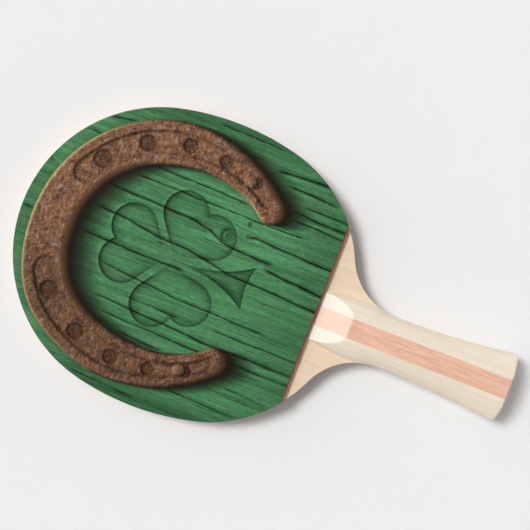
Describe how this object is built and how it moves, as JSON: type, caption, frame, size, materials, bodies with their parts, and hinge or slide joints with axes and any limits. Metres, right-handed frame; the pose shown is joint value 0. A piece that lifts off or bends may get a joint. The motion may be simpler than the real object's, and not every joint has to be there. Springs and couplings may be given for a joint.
{
  "type": "table tennis paddle",
  "caption": "Table tennis paddle: plywood blade, flared laminated wooden handle, and pimpled rubber on sponge on both sides, the front printed with green planks and a rusty horseshoe.",
  "frame": {"origin": "under the middle of the bounding box, at the level of the flat of the back handle scale", "axes": "+X along the paddle from the tip of the head to the butt of the handle, +Y across its width, +Z out of the printed front face"},
  "size_m": [0.257, 0.15, 0.023],
  "materials": {
    "core_wood": "sawn and sanded edge grain",
    "cross_wood": "sanded end grain",
    "face_wood": "sanded pale veneer, unvarnished",
    "glue": "dried adhesive film",
    "sponge": "fine closed-cell foam",
    "red_rubber": "smooth satin rubber",
    "printed_ink": "satin full-colour print of green planks with a rusty horseshoe and a clover leaf",
    "pale_handle_wood": "sanded smooth, unvarnished",
    "red_handle_wood": "sanded smooth, open straight grain"
  },
  "bodies": {
    "root": {"core_ply": "core_wood", "front_cross_ply": "cross_wood", "back_cross_ply": "cross_wood", "front_face_ply": "face_wood", "back_face_ply": "face_wood", "front_glue_film": "glue", "back_glue_film": "glue", "front_sponge": "sponge", "back_sponge": "sponge", "front_topsheet": "red_rubber", "back_topsheet": "red_rubber", "front_print": "printed_ink", "front_handle_left_strip": "pale_handle_wood", "front_handle_centre_strip": "red_handle_wood", "front_handle_right_strip": "pale_handle_wood", "back_handle_left_strip": "pale_handle_wood", "back_handle_centre_strip": "red_handle_wood", "back_handle_right_strip": "pale_handle_wood"}
  },
  "joints": []
}
